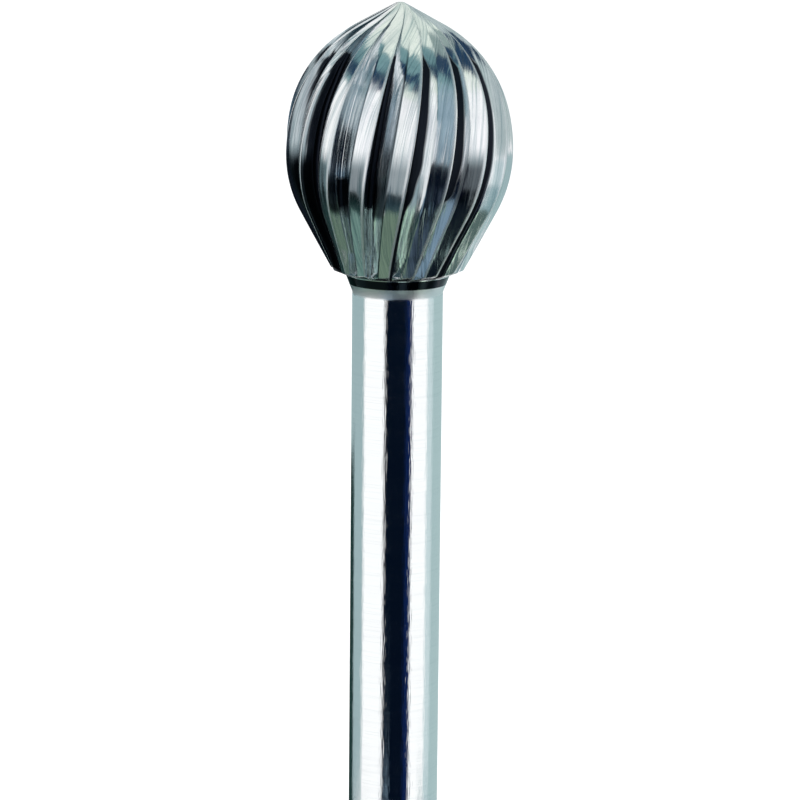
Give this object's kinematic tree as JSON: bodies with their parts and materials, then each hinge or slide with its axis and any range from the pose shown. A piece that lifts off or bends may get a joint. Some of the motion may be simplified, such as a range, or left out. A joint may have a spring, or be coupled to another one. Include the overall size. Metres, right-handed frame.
{
  "type": "oval rotary burr",
  "caption": "Egg-shaped steel burr with helical cutting teeth on a plain round shank, for grinding and deburring in a collet.",
  "frame": {"origin": "centre of the flat end of the shank", "axes": "+Z along the axis, from the shank end to the tip; -Y is the side that faces the viewer in the picture"},
  "size_m": [0.0079, 0.0079, 0.0381],
  "materials": {
    "burr_steel": "ground high-speed steel, fine grinding marks along the flutes and around the shank"
  },
  "bodies": {
    "root": {"oval_burr": "burr_steel"}
  },
  "joints": []
}
